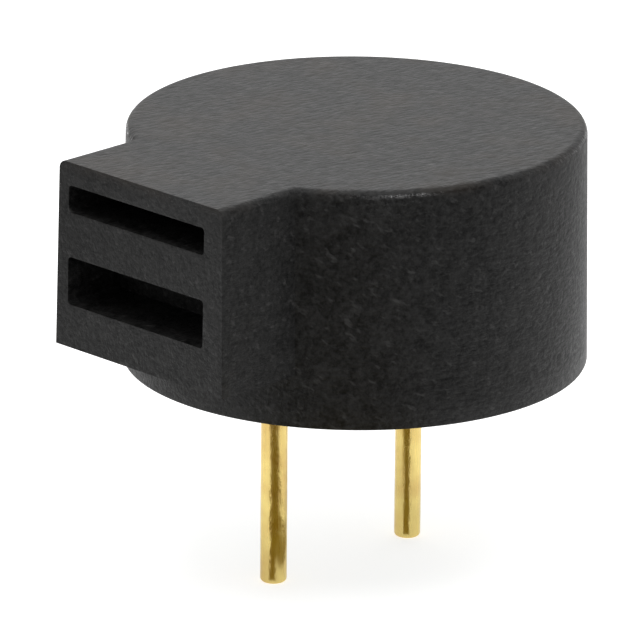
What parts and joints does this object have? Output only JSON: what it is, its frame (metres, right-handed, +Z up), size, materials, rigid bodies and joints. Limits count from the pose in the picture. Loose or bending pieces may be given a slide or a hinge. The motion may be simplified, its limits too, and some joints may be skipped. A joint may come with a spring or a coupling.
{
  "type": "magnetic buzzer",
  "caption": "Round magnetic buzzer with a side sound outlet and a pair of straight round pins for soldering into a circuit board.",
  "frame": {"origin": "on the body axis, in the plane of the housing's open rim, which is the seating plane", "axes": "+Z up through the flat top, sound outlet towards -Y, pins down along -Z in a line along Y, X is across the outlet"},
  "size_m": [0.0122, 0.014, 0.012],
  "materials": {
    "housing_plastic": "fine matt, moulded black",
    "ring_plastic": "matt moulded grey-black",
    "diaphragm_steel": "thin rolled sheet",
    "armature_steel": "satin",
    "ferrite": "ground sintered ferrite",
    "plated_iron": "zinc-plated soft iron, satin",
    "bobbin_plastic": "natural moulded plastic",
    "enamelled_copper": "glossy enamelled copper wire",
    "copper_foil": "copper land",
    "board_laminate": "glass-epoxy laminate",
    "gold_plate": "glossy gold plate",
    "solder": "bright solder",
    "epoxy": "glossy dark sealing resin",
    "white_ink": "printed ink"
  },
  "bodies": {
    "root": {"housing": "housing_plastic", "support_ring": "ring_plastic", "diaphragm": "diaphragm_steel", "armature_disc": "armature_steel", "magnet_ring": "ferrite", "pole_plate": "plated_iron", "pole_core": "plated_iron", "coil_bobbin": "bobbin_plastic", "coil_winding": "enamelled_copper", "coil_lead_start": "enamelled_copper", "coil_lead_finish": "enamelled_copper", "circuit_board": "board_laminate", "land_positive": "copper_foil", "land_negative": "copper_foil", "pin_positive": "gold_plate", "pin_negative": "gold_plate", "solder_joint_positive": "solder", "solder_joint_negative": "solder", "epoxy_seal": "epoxy", "polarity_mark": "white_ink"}
  },
  "joints": []
}
